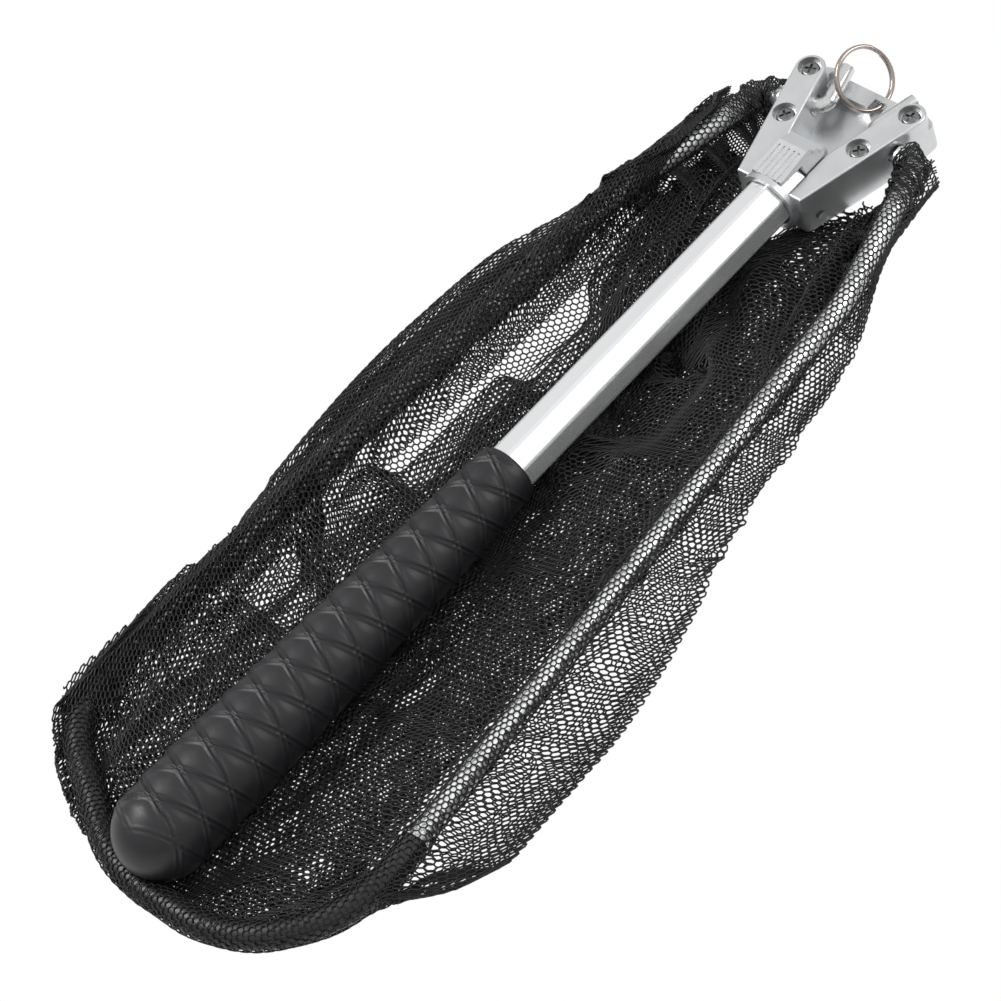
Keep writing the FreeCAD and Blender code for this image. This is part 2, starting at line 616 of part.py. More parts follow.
def tube_along(edges, outer, inner=0.0):
    """Tube or bar of round section along a path in the hoop's plane."""
    wire = Part.Wire(edges)
    start = edges[0].Vertexes[0].Point
    ahead = edges[0].tangentAt(edges[0].FirstParameter)
    shells = []
    for radius in (outer, inner):
        if radius > 0:
            profile = Part.Wire(Part.Circle(start, ahead, radius).toShape())
            shells.append(wire.makePipeShell([profile], True, True))
    return shells[0].cut(shells[1]) if inner > 0 else shells[0]


def make_hoop():
    rod, bore = size("rod_dia") / 2, size("rod_bore") / 2
    for name, side in SIDES.items():
        edges = hoop_half_path(side)
        shape_part(name + "_rod", tube_along(edges, rod, bore), "hoop")
    core = tube_along(loop_path(size("core_lap")), size("core_dia") / 2)
    shape_part("loop_core", core, "hoop")
    loop = tube_along(loop_path(size("loop_lap")), size("loop_dia") / 2, size("loop_bore") / 2)
    shape_part("front_loop", loop, "hoop")


def hoop_line():
    """The whole hoop's centre line, from one end of the hem to the other."""
    left = hoop_half_path(1, size("hem_start"))
    right = hoop_half_path(-1, size("hem_start"))
    loop = loop_path(0.0)
    back = [e.copy() for e in reversed(right)]
    return Part.Wire(Part.__sortEdges__(left + loop + back))


def along_hoop(radius):
    """Solid bar of one radius along the whole hoop, from hem end to hem end."""
    line = hoop_line()
    start = vector(0, size("side_reach") + size("gap") + size("hem_start"))
    profile = Part.Wire(Part.Circle(start, vector(0, 1, 0), radius).toShape())
    return line.makePipeShell([profile], True, True)


def hem_radius():
    return size("loop_dia") / 2 + size("hem_slack")


def make_hem():
    """Sleeve of net that the hoop is threaded through."""
    sleeve = along_hoop(hem_radius() + size("hem_thickness")).cut(along_hoop(hem_radius()))
    shape_part("net_hem", sleeve, "hoop")


def hinge_x():
    """Place of the line about which the hoop folds."""
    return size("arm_mid_x") - (size("side_reach") - size("arm_mid_y")) * math.tan(ANGLE)


def hoop_placement(x=0.0, y=0.0, z=0.0):
    """The hoop's plane drops a little from the hinge line to the ground."""
    turn = FreeCAD.Rotation(vector(0, 1, 0), -size("hoop_tilt"))
    return FreeCAD.Placement(vector(x + hinge_x(), y, z), turn)


def make_net():
    """Flattened bag: a low slab of the bag's own outline, open where handle and hem lie."""
    level = -(size("grip_butt_dia") / 2 + size("net_clear"))
    far, wide = size("rod_end_x") - size("loop_reach"), size("rod_end_y")
    left = [vector(x * far, y * wide, level) for x, y in NET_PLAN]
    right = [vector(x * far, -y * wide, level) for x, y in reversed(NET_PLAN)]
    curve = Part.BSplineCurve()
    curve.interpolate(left + right)
    rim = Part.Wire([curve.toShape(), Part.LineSegment(right[-1], left[0]).toShape()])
    slab = Part.Face(rim).extrude(vector(0, 0, size("net_height")))
    clear = size("gap")
    handle_room = Part.makeCylinder(size("grip_butt_dia") / 2 + clear, -1.1 * far,
                                    vector(1.1 * far, 0, 0), vector(1, 0, 0))
    hem_room = along_hoop(hem_radius() + size("hem_thickness") + clear)
    hem_room.Placement = hoop_placement()
    half = size("head_sweep_half")
    head_room = Part.makeCylinder(size("head_sweep"), 2 * half, vector(hinge_x(), -half, 0),
                                  vector(0, 1, 0))
    slab = slab.cut(handle_room).cut(hem_room).cut(head_room)
    shape_part("net_bag", max(slab.Solids, key=lambda solid: solid.Volume), "net")


# ---------------------------------------------------------------- split ring
def make_ring():
    """Two flat coils of wire side by side, leaning to the left in the head's ring hole."""
    radius, wire = size("ring_radius"), size("ring_wire") / 2
    lean = math.radians(size("ring_lean"))
    low = vector(size("head_front") - size("ring_web") / 2, size("ring_y"), -size("ring_depth"))
    up = vector(0, math.sin(lean), math.cos(lean))
    normal = vector(0, -math.cos(lean), math.sin(lean))
    coils = [Part.makeTorus(radius, wire, low + up * radius + normal * (k * size("ring_pitch") / 2),
                            normal) for k in (-1, 1)]
    shape_part("split_ring", coils[0].fuse(coils[1]), "ring")


# ---------------------------------------------------------------- build, check and write
make_tube()
make_plug()
make_grip()
make_rivet()
make_head_base()
make_arms()
make_screws()
make_bushes()
make_hinge_bars()
make_latch()
make_latch_fixings()
make_detent()
make_hoop()
make_hem()
make_net()
make_ring()

doc.recompute()


def place_sub_parts():
    """Lift every sub-part so that the net rests on the ground; tilt what is on the hoop."""
    for obj, group, at in SUB_PARTS:
        start = "shift_x + " + (HINGE_X if group == "hoop" else at[0])
        if group == "hoop":
            obj.Placement = hoop_placement()
        bind(obj, Placement__Base__x=start, Placement__Base__y="shift_y + " + at[1],
             Placement__Base__z="grip_butt_dia / 2 + net_clear + " + at[2])
    doc.recompute()


def whole_box():
    bounds = FreeCAD.BoundBox()
    for obj, _, _ in SUB_PARTS:
        bounds.add(obj.Shape.optimalBoundingBox(False))
    return bounds


place_sub_parts()
extent = whole_box()
for alias, number in (("shift_x", -extent.Center.x), ("shift_y", -extent.Center.y)):
    sheet.set(sheet.getCellFromAlias(alias), str(round(number, 4)))
doc.recompute()

for obj in doc.Objects:
    if "Invalid" in obj.State or "Error" in obj.State:
        raise ValueError("%s did not compute: %s" % (obj.Label, obj.State))
for obj, _, _ in SUB_PARTS:
    if obj.Shape.isNull() or not obj.Shape.isValid():
        raise ValueError("%s is not a valid solid" % obj.Label)

os.makedirs("parts", exist_ok=True)
for obj, group, _ in SUB_PARTS:
    obj.Shape.exportStep("parts/%s.step" % obj.Label)
    b = obj.Shape.optimalBoundingBox(False)
    print("%-18s %-9s %d solid  %9.1f mm3  x %7.1f %7.1f  y %6.1f %6.1f  z %5.1f %5.1f"
          % (obj.Label, group, len(obj.Shape.Solids), obj.Shape.Volume,
             b.XMin, b.XMax, b.YMin, b.YMax, b.ZMin, b.ZMax))
extent = whole_box()
print("shift %.4f %.4f" % (size("shift_x"), size("shift_y")))
print("overall %.1f x %.1f x %.1f mm" % (extent.XLength, extent.YLength, extent.ZLength))
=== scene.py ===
# %% [markdown]
# # A folding landing net, folded and laid flat on a white ground
#
# The hoop is folded back beside the handle and the bag lies flat under both. Metal pieces keep their
# CAD shapes and only get materials. The rubber grip gets its moulded lattice, the split ring is wound
# from wire, and the bag and its hem are knitted from real strands, because a mesh this open is seen
# through: light, the ground and the hoop's rods show between the strands.

import json
import math

import bpy
import numpy as np
from mathutils import Matrix, Vector


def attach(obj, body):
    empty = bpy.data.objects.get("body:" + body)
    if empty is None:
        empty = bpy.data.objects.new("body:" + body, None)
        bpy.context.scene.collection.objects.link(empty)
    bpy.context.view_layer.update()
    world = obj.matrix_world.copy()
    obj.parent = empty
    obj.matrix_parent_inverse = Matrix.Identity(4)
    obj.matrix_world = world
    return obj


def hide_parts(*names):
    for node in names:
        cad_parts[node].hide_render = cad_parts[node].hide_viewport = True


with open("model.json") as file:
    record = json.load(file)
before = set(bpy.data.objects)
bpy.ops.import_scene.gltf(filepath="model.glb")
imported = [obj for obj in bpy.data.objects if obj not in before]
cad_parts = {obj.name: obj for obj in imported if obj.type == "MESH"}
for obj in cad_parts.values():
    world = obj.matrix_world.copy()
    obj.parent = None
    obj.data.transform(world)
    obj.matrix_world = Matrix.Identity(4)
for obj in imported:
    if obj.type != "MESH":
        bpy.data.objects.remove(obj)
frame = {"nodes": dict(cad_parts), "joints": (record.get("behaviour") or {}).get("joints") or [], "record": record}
scene = bpy.context.scene
MM = 0.001
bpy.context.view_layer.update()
HINGE = Vector(next(j for j in frame["joints"] if j["name"] == "hoop_fold")["pos_m"])
SWING = Vector(next(j for j in frame["joints"] if j["name"] == "ring_swing")["pos_m"])
HEAD_X = HINGE.x - 2.42 * MM
AXIS_Z = HINGE.z
print("frame loaded:", len(frame["nodes"]), "nodes; hinge line at", [round(c, 4) for c in HINGE])

# %% [markdown]
# ## Small helpers
#
# One helper adds any node and sets its inputs by name. One class wraps a socket, so that shader and
# geometry maths reads as plain arithmetic. One helper turns points and faces into a mesh object.


# %% Helpers for nodes and meshes
def add_node(tree, kind, inputs=None, **settings):
    """Add one node, set its settings, then feed its inputs with values or sockets."""
    made = tree.nodes.new(kind)
    for name, value in settings.items():
        setattr(made, name, value)
    for name, value in (inputs or {}).items():
        feed(tree, made.inputs[name], value)
    return made


def feed(tree, socket, value):
    if isinstance(value, Term):
        value = value.socket
    if isinstance(value, bpy.types.NodeSocket):
        tree.links.new(value, socket)
    else:
        socket.default_value = value


class Term:
    """A float socket that can be added, scaled and compared with plain operators."""

    def __init__(self, tree, socket):
        self.tree, self.socket = tree, socket

    def do(self, operation, *others, clamp=False):
        made = self.tree.nodes.new("ShaderNodeMath")
        made.operation, made.use_clamp = operation, clamp
        for slot, value in zip(made.inputs, (self,) + others):
            feed(self.tree, slot, value)
        return Term(self.tree, made.outputs[0])

    def __add__(self, other):
        return self.do("ADD", other)

    def __sub__(self, other):
        return self.do("SUBTRACT", other)

    def __mul__(self, other):
        return self.do("MULTIPLY", other)

    def __truediv__(self, other):
        return self.do("DIVIDE", other)

    def ramp(self, low, high):
        """0 below low, 1 above high, straight between."""
        return ((self - low) / (high - low)).do("ADD", 0.0, clamp=True)


def mesh_object(name, points, faces, uvs=None):
    """Mesh object at the origin; uvs, where given, holds one pair for each point."""
    mesh = bpy.data.meshes.new(name)
    mesh.from_pydata([tuple(p) for p in points], [], [tuple(f) for f in faces])
    if uvs is not None:
        layer = mesh.uv_layers.new(name="UVMap")
        corners = np.zeros(len(mesh.loops), np.int32)
        mesh.loops.foreach_get("vertex_index", corners)
        layer.data.foreach_set("uv", np.asarray(uvs, np.float32)[corners].ravel())
    mesh.update()
    made = bpy.data.objects.new(name, mesh)
    scene.collection.objects.link(made)
    return made


def grid_faces(rows, columns, closed=False):
    """Quads of a grid of points numbered row by row."""
    last = columns if closed else columns - 1
    return [(r * columns + c, r * columns + (c + 1) % columns,
             (r + 1) * columns + (c + 1) % columns, (r + 1) * columns + c)
            for r in range(rows - 1) for c in range(last)]


def smoothstep(value, low, high):
    t = np.clip((value - low) / (high - low), 0, 1)
    return t * t * (3 - 2 * t)


# %% [markdown]
# ## Materials
#
# Every surface gets a fine detail of its own: bead-blasted grain on the castings, drawn lines on the
# tube and rods, a dull bloom on the rubber. The details read Object coordinates, so they need no unwrapping.


# %% Materials
def material(name, colour, metallic, roughness, detail, grain, bump, stretch=(1, 1, 1), spread=0.12,
             coat=0.0):
    """Principled material whose colour, roughness and surface vary with two noises."""
    made = bpy.data.materials.new(name)
    made.use_nodes = True
    tree = made.node_tree
    shader = tree.nodes["Principled BSDF"]
    place = add_node(tree, "ShaderNodeTexCoord")
    scaled = add_node(tree, "ShaderNodeMapping", {"Vector": place.outputs["Object"],
                                                  "Scale": stretch})
    fine = add_node(tree, "ShaderNodeTexNoise", {"Vector": scaled.outputs[0], "Scale": grain,
                                                 "Detail": 3.0, "Roughness": 0.6})
    broad = add_node(tree, "ShaderNodeTexNoise", {"Vector": scaled.outputs[0], "Scale": detail,
                                                  "Detail": 2.0})
    fine_value = Term(tree, fine.outputs[0])
    broad_value = Term(tree, broad.outputs[0])
    light = tuple(min(1.0, c * (1 + spread)) for c in colour) + (1,)
    dark = tuple(c * (1 - spread) for c in colour) + (1,)
    tint = add_node(tree, "ShaderNodeMix", data_type="RGBA")
    feed(tree, tint.inputs[0], broad_value * 0.6 + fine_value * 0.4)
    feed(tree, tint.inputs[6], dark)
    feed(tree, tint.inputs[7], light)
    tree.links.new(tint.outputs[2], shader.inputs["Base Color"])
    rough = fine_value * (roughness * 0.5) + broad_value * (roughness * 0.3)
    feed(tree, shader.inputs["Roughness"], rough + roughness * 0.6)
    shader.inputs["Metallic"].default_value = metallic
    shader.inputs["Coat Weight"].default_value = coat
    relief = add_node(tree, "ShaderNodeBump", {"Height": fine_value, "Strength": 0.35,
                                               "Distance": bump})
    tree.links.new(relief.outputs[0], shader.inputs["Normal"])
    return made


PAINTS = {
    "cast_alloy": material("cast_alloy", (0.66, 0.67, 0.68), 0.85, 0.36, 140, 2000, 0.00016),
    "polished_tube": material("polished_tube", (0.88, 0.89, 0.9), 0.75, 0.26, 60, 900, 0.000012,
                              (0.02, 1, 1), 0.05),
    "satin_rod": material("satin_rod", (0.88, 0.89, 0.9), 0.7, 0.3, 80, 900, 0.00002,
                          (0.05, 1, 1), 0.08),
    "bar_metal": material("bar_metal", (0.72, 0.73, 0.73), 1.0, 0.26, 200, 1800, 0.00001),
    "bush_metal": material("bush_metal", (0.7, 0.71, 0.72), 1.0, 0.25, 200, 1500, 0.00002),
    "screw_steel": material("screw_steel", (0.24, 0.24, 0.24), 1.0, 0.34, 300, 2500, 0.00005),
    "nickel_wire": material("nickel_wire", (0.46, 0.4, 0.36), 1.0, 0.16, 200, 1500, 0.000004),
    "grip_rubber": material("grip_rubber", (0.010, 0.010, 0.012), 0.0, 0.45, 60, 1800, 0.00008,
                            spread=0.4),
    "loop_plastic": material("loop_plastic", (0.012, 0.012, 0.013), 0.0, 0.38, 80, 1600, 0.00003),
    "black_plastic": material("black_plastic", (0.02, 0.02, 0.02), 0.0, 0.5, 80, 1500, 0.00003),
    "net_mesh": material("net_mesh", (0.006, 0.006, 0.0065), 0.0, 0.5, 150, 3000, 0.00005,
                         spread=0.25),
}
slots = {entry["node"]: entry["material_slot"] for entry in frame["record"]["subparts"]}
for name, node in frame["nodes"].items():
    node.data.materials.clear()
    node.data.materials.append(PAINTS[slots[name]])
print("materials on", len(slots), "CAD nodes")

# %% [markdown]
# ## Rubber grip
#
# The grip is a moulded sleeve: a taper that ends in a dome, with pairs of thin raised lines that cross
# in a diamond lattice and leave a low pillow inside each diamond. Displacing one fine grid by the
# distance to the nearest line gives lines, valleys and pillows at once, with clean crossings.


# %% Rubber grip
def grip_section():
    """Radius along the grip in mm: taper, straight part, dome."""
    along = np.concatenate([np.arange(-187.2, -372.7, -0.48),
                            -372.7 - 17.8 * np.sin(np.linspace(0, math.pi / 2, 46))[:-1]])
    inside = np.clip(-372.7 - along, 0, 17.8)
    taper = np.interp(along, [-340, -187.2], [17.8, 12.2])
    radius = np.where(along < -372.7, np.sqrt(np.maximum(17.8 ** 2 - inside ** 2, 0)), taper)
    return along, radius


def lattice(along, around, radius, starts=3, pitch=13.7):
    """Height of the raised lines and pillows, in mm."""
    turn = starts * around / (2 * math.pi)
    slope = np.sqrt((starts / (2 * math.pi * radius)) ** 2 + (1 / pitch) ** 2)
    gaps = []
    for hand in (1, -1):
        phase = turn + hand * along / pitch
        gaps.append(np.abs((phase + 0.5) % 1 - 0.5) / slope)
    lines = sum(np.exp(-((gap - 0.9) / 0.34) ** 2) for gap in gaps)
    nearest = np.minimum(gaps[0], gaps[1])
    pillow = smoothstep(nearest, 0.9, 5.5)
    valley = np.exp(-(nearest / 0.5) ** 2)
    return 0.8 * np.minimum(lines, 1.1) + 0.36 * pillow - 0.4 * valley


def make_grip():
    along, radius = grip_section()
    count = 224
    around = np.linspace(0, 2 * math.pi, count, endpoint=False)
    x, angle = np.meshgrid(along, around, indexing="ij")
    r = np.repeat(radius[:, None], count, axis=1)
    keep = smoothstep(x, -386, -374) * (1 - smoothstep(x, -190, -188.4))
    r = np.maximum(r + keep * lattice(x, angle, np.maximum(r, 6)) - 0.2, 0.05)
    r = r - 0.9 * smoothstep(x, -188.2, -187.2)
    points = np.stack([HEAD_X + x * MM, -r * np.sin(angle) * MM, AXIS_Z + r * np.cos(angle) * MM], -1)
    rows = len(along)
    points = list(points.reshape(-1, 3))
    faces = grid_faces(rows, count, closed=True)
    tip = len(points)
    points.append((HEAD_X - 390.5 * MM, 0, AXIS_Z))
    last = (rows - 1) * count
    faces += [(last + c, last + (c + 1) % count, tip) for c in range(count)]
    bore = len(points)
    points += [(HEAD_X - 187.2 * MM, -10.4 * math.sin(a) * MM, AXIS_Z + 10.4 * math.cos(a) * MM)
               for a in around]
    faces += [(c, bore + c, bore + (c + 1) % count, (c + 1) % count)[::-1] for c in range(count)]
    deep = len(points)
    points += [(HEAD_X - 376 * MM, -10.4 * math.sin(a) * MM, AXIS_Z + 10.4 * math.cos(a) * MM)
               for a in around]
    faces += [(bore + c, deep + c, deep + (c + 1) % count, bore + (c + 1) % count)[::-1]
              for c in range(count)]
    faces.append(tuple(range(deep, deep + count)))
    grip = mesh_object("grip_lattice", points, faces)
    grip.data.materials.append(PAINTS["grip_rubber"])
    for polygon in grip.data.polygons:
        polygon.use_smooth = True
    return grip


grip = make_grip()
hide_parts("rubber_grip")
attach(grip, "handle")
print("grip:", len(grip.data.polygons), "faces")

# %% [markdown]
# ## Split ring
#
# A split ring is a flat coil of spring wire wound nearly twice round. A spiral curve with a small rise
# per turn, swept with a round section, gives the two wires side by side and the two cut ends.


# %% Geometry Nodes helpers and the split ring
def new_tree(name, **kinds):
    """Geometry tree with named inputs; returns the tree, its input node and its output node."""
    tree = bpy.data.node_groups.new(name, "GeometryNodeTree")
    tree.interface.new_socket("Geometry", in_out="OUTPUT", socket_type="NodeSocketGeometry")
    tree.interface.new_socket("Geometry", in_out="INPUT", socket_type="NodeSocketGeometry")
    for label, kind in kinds.items():
        tree.interface.new_socket(label, in_out="INPUT", socket_type="NodeSocket" + kind)
    return tree, tree.nodes.new("NodeGroupInput"), tree.nodes.new("NodeGroupOutput")


def finish_tree(tree, output, geometry, paint):
    """Every tree ends alike: instances made real, material set."""
    real = add_node(tree, "GeometryNodeRealizeInstances", {0: geometry})
    painted = add_node(tree, "GeometryNodeSetMaterial", {"Geometry": real.outputs[0],
                                                         "Material": paint})
    tree.links.new(painted.outputs[0], output.inputs[0])


def grow(name, tree, **values):
    """Run a tree on an empty mesh and return the outcome as a plain mesh object."""
    holder = mesh_object(name, [], [])
    modifier = holder.modifiers.new("grow", "NODES")
    modifier.node_group = tree
    for item in tree.interface.items_tree:
        if item.item_type == "SOCKET" and item.in_out == "INPUT" and item.name in values:
            modifier[item.identifier] = values[item.name]
    bpy.context.view_layer.update()
    seen = holder.evaluated_get(bpy.context.evaluated_depsgraph_get())
    mesh = bpy.data.meshes.new_from_object(seen)
    mesh.name = name
    holder.modifiers.clear()
    holder.data = mesh
    return holder


def ring_tree():
    tree, given, output = new_tree("wound_ring", Radius="Float", Wire="Float", Rise="Float",
                                   Turns="Float", Lean="Float", Place="Vector")
    spiral = add_node(tree, "GeometryNodeCurveSpiral", {
        "Resolution": 96, "Rotations": given.outputs["Turns"],
        "Start Radius": given.outputs["Radius"], "End Radius": given.outputs["Radius"],
        "Height": given.outputs["Rise"]})
    section = add_node(tree, "GeometryNodeCurvePrimitiveCircle", {"Resolution": 16,
                                                                  "Radius": given.outputs["Wire"]})
    wire = add_node(tree, "GeometryNodeCurveToMesh", {"Curve": spiral.outputs[0],
                                                      "Profile Curve": section.outputs[0],
                                                      "Fill Caps": True})
    centred = add_node(tree, "GeometryNodeTransform", {"Geometry": wire.outputs[0],
                                                       "Rotation": (0.0, 0.0, -0.6)})
    turn = add_node(tree, "ShaderNodeCombineXYZ", {"X": given.outputs["Lean"]})
    placed = add_node(tree, "GeometryNodeTransform", {"Geometry": centred.outputs[0],
                                                      "Translation": given.outputs["Place"],
                                                      "Rotation": turn.outputs[0]})
    smooth = add_node(tree, "GeometryNodeSetShadeSmooth", {0: placed.outputs[0]})
    finish_tree(tree, output, smooth.outputs[0], PAINTS["nickel_wire"])
    return tree


LEAN = math.radians(37)
outward = Vector((0, math.cos(LEAN), -math.sin(LEAN)))
centre = SWING + Vector((0, math.sin(LEAN), math.cos(LEAN))) * 12.9 * MM - outward * 0.75 * MM
ring = grow("split_ring_wire", ring_tree(), Radius=12.1 * MM, Wire=0.88 * MM, Rise=1.5 * MM,
            Turns=1.93, Lean=-(math.pi / 2 + LEAN), Place=centre)
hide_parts("split_ring")
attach(ring, "ring")
print("ring:", len(ring.data.polygons), "faces")

# %% [markdown]
# ## The hoop's line
#
# Bag and hem both hang on the hoop, so both start from one line: the stub that leaves the head, the
# bend back, the shoulder, the straight rod and the round end of the flexible loop.


# %% The hoop's line
TILT = math.radians(1.7)


def rounded_line(corners, radii, step=1.0):
    """Points about step mm apart along straight runs joined by arcs."""
    corners = [np.array(c, float) for c in corners]
    stops, points = [], [corners[0]]
    for before, corner, after, radius in zip(corners, corners[1:], corners[2:], radii):
        back = (before - corner) / np.linalg.norm(before - corner)
        ahead = (after - corner) / np.linalg.norm(after - corner)
        half = math.acos(float(np.clip(back @ ahead, -1, 1))) / 2
        reach = radius / math.tan(half)
        middle = corner + (back + ahead) / np.linalg.norm(back + ahead) * radius / math.sin(half)
        first, last = corner + back * reach, corner + ahead * reach
        for t in np.linspace(0, 1, 24):
            side = (first - middle) * (1 - t) + (last - middle) * t
            points.append(middle + side / np.linalg.norm(side) * radius)
    points.append(corners[-1])
    line = np.array(points)
    length = np.concatenate([[0], np.cumsum(np.linalg.norm(np.diff(line, axis=0), axis=1))])
    even = np.arange(0, length[-1], step)
    return np.stack([np.interp(even, length, line[:, k]) for k in range(2)], -1)


def hoop_to_row(flat):
    """Points in the hoop's own plane, in mm, to the row frame in metres."""
    flat = np.asarray(flat, float)
    return np.stack([HINGE.x + flat[:, 0] * math.cos(TILT) * MM, flat[:, 1] * MM,
                     HINGE.z + flat[:, 0] * math.sin(TILT) * MM], -1)


ROD_END, LAP_END = (-338.3, 75.5), (-324.3, 74.4)
SKEW = [(-352, 76.5), (-393, 12), (-392, -79.6)]
half_hoop = rounded_line([(0, 30), (0, 37), (-64.3, 54.5), ROD_END, (-396.4, 80), (-396.4, 0)],
                         [7, 90, 1, 52])
mirrored = [(x, -y) for x, y in ((0, 30), (0, 37), (-64.3, 54.5))][::-1]
whole_hoop = rounded_line([(0, 30), (0, 37), (-64.3, 54.5)] + SKEW + mirrored,
                          [7, 90, 40, 70, 52, 90, 7])
loop_line = rounded_line([LAP_END] + SKEW + [(LAP_END[0], -LAP_END[1])], [40, 70, 52])
print("hoop line:", len(whole_hoop), "points")


# %% The flexible loop, pushed a little to the right as it lies
def loop_tree():
    tree, given, output = new_tree("loop_sleeve", Line="Object", Radius="Float")
    line = add_node(tree, "GeometryNodeObjectInfo", {"Object": given.outputs["Line"]})
    curve = add_node(tree, "GeometryNodeMeshToCurve", {"Mesh": line.outputs["Geometry"]})
    section = add_node(tree, "GeometryNodeCurvePrimitiveCircle", {"Resolution": 40,
                                                                  "Radius": given.outputs["Radius"]})
    sleeve = add_node(tree, "GeometryNodeCurveToMesh", {"Curve": curve.outputs[0],
                                                        "Profile Curve": section.outputs[0],
                                                        "Fill Caps": True})
    smooth = add_node(tree, "GeometryNodeSetShadeSmooth", {0: sleeve.outputs[0]})
    finish_tree(tree, output, smooth.outputs[0], PAINTS["loop_plastic"])
    return tree


def line_object(name, points):
    mesh = bpy.data.meshes.new(name)
    mesh.from_pydata([tuple(p) for p in points], [(i, i + 1) for i in range(len(points) - 1)], [])
    made = bpy.data.objects.new(name, mesh)
    scene.collection.objects.link(made)
    return made


guide = line_object("loop_guide", hoop_to_row(loop_line))
loop = grow("loop_sleeve", loop_tree(), Line=guide, Radius=5.1 * MM)
bpy.data.objects.remove(guide)
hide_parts("front_loop", "loop_core")
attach(loop, "hoop")
print("loop:", len(loop.data.polygons), "faces")

# %% [markdown]
# ## Knitted mesh
#
# The netting is a honeycomb of thin strands 2.45 mm apart. One tree knits any surface: it lays out
# three-armed cells on a flat triangular grid, looks up where each point lies on the surface by its
# UV place in metres, and sweeps every arm with a thin section. What falls outside the surface is left out.


# %% Knitting tree
def knit_tree():
    tree, given, output = new_tree("knit", Surface="Object", Pitch="Float", Strand="Float",
                                   Start="Vector", Columns="Int", Rows="Int", Uneven="Float")
    pitch = Term(tree, given.outputs["Pitch"])
    step = pitch * (math.sqrt(3) / 2)
    columns, rows = Term(tree, given.outputs["Columns"]), Term(tree, given.outputs["Rows"])
    ground = add_node(tree, "GeometryNodeMeshGrid", {
        "Size X": (columns - 1.0) * pitch, "Size Y": (rows - 1.0) * step,
        "Vertices X": given.outputs["Columns"], "Vertices Y": given.outputs["Rows"]})
    middle = add_node(tree, "ShaderNodeCombineXYZ", {"X": (columns - 1.0) * pitch * 0.5,
                                                     "Y": (rows - 1.0) * step * 0.5})
    corner = add_node(tree, "GeometryNodeSetPosition", {"Geometry": ground.outputs[0],
                                                        "Offset": middle.outputs[0]})
    where = add_node(tree, "ShaderNodeSeparateXYZ",
                     {0: add_node(tree, "GeometryNodeInputPosition").outputs[0]})
    row = (Term(tree, where.outputs["Y"]) / step + 0.5).do("FLOOR")
    shift = add_node(tree, "ShaderNodeCombineXYZ", {"X": row.do("MODULO", 2.0) * pitch * 0.5})
    staggered = add_node(tree, "GeometryNodeSetPosition", {"Geometry": corner.outputs[0],
                                                           "Offset": shift.outputs[0]})
    reach = add_node(tree, "ShaderNodeCombineXYZ", {"Y": pitch / math.sqrt(3)})
    arm = add_node(tree, "GeometryNodeMeshLine", {"Count": 2, "Offset": reach.outputs[0]})
    arms = add_node(tree, "GeometryNodeJoinGeometry")
    for turn in (0, 120, 240):
        turned = add_node(tree, "GeometryNodeTransform", {
            "Geometry": arm.outputs[0], "Rotation": (0.0, 0.0, math.radians(turn))})
        tree.links.new(turned.outputs[0], arms.inputs[0])
    cells = add_node(tree, "GeometryNodeInstanceOnPoints", {"Points": staggered.outputs[0],
                                                            "Instance": arms.outputs[0]})
    flat = add_node(tree, "GeometryNodeRealizeInstances", {0: cells.outputs[0]})
    here = add_node(tree, "GeometryNodeInputPosition").outputs[0]
    wander = add_node(tree, "ShaderNodeTexNoise", {"Vector": here, "Scale": 160.0, "Detail": 0.0})
    centred = add_node(tree, "ShaderNodeVectorMath", {0: wander.outputs[1], 1: (0.5, 0.5, 0.5)},
                       operation="SUBTRACT")
    drift = add_node(tree, "ShaderNodeVectorMath", {0: centred.outputs[0],
                                                    "Scale": given.outputs["Uneven"]},
                     operation="SCALE")
    moved = add_node(tree, "ShaderNodeVectorMath", {0: here, 1: drift.outputs[0]}, operation="ADD")
    address = add_node(tree, "ShaderNodeVectorMath", {0: moved.outputs[0],
                                                      1: given.outputs["Start"]}, operation="ADD")
    surface = add_node(tree, "GeometryNodeObjectInfo", {"Object": given.outputs["Surface"]})
    unwrap = add_node(tree, "GeometryNodeInputNamedAttribute", {"Name": "UVMap"},
                      data_type="FLOAT_VECTOR")
    place = add_node(tree, "GeometryNodeInputPosition").outputs[0]
    found = add_node(tree, "GeometryNodeSampleUVSurface", data_type="FLOAT_VECTOR")
    feed(tree, found.inputs[0], surface.outputs["Geometry"])
    feed(tree, found.inputs[1], place)
    feed(tree, found.inputs[2], unwrap.outputs[0])
    feed(tree, found.inputs[3], address.outputs[0])
    laid = add_node(tree, "GeometryNodeSetPosition", {
        "Geometry": flat.outputs[0], "Selection": found.outputs[1], "Position": found.outputs[0]})
    outside = add_node(tree, "FunctionNodeBooleanMath", {0: found.outputs[1]}, operation="NOT")
    marked = add_node(tree, "GeometryNodeCaptureAttribute", {"Geometry": flat.outputs[0]})
    marked.capture_items.new("BOOLEAN", "outside")
    feed(tree, marked.inputs[1], outside.outputs[0])
    tree.links.new(marked.outputs[0], laid.inputs["Geometry"])
    kept = add_node(tree, "GeometryNodeDeleteGeometry", {"Geometry": laid.outputs[0],
                                                         "Selection": marked.outputs[1]})
    lines = add_node(tree, "GeometryNodeMeshToCurve", {"Mesh": kept.outputs[0]})
    section = add_node(tree, "GeometryNodeCurvePrimitiveCircle", {"Resolution": 3,
                                                                  "Radius": given.outputs["Strand"]})
    strands = add_node(tree, "GeometryNodeCurveToMesh", {"Curve": lines.outputs[0],
                                                         "Profile Curve": section.outputs[0],
                                                         "Fill Caps": True})
    finish_tree(tree, output, strands.outputs[0], PAINTS["net_mesh"])
    return tree


KNIT = knit_tree()
PITCH, STRAND = 2.45 * MM, 0.365 * MM


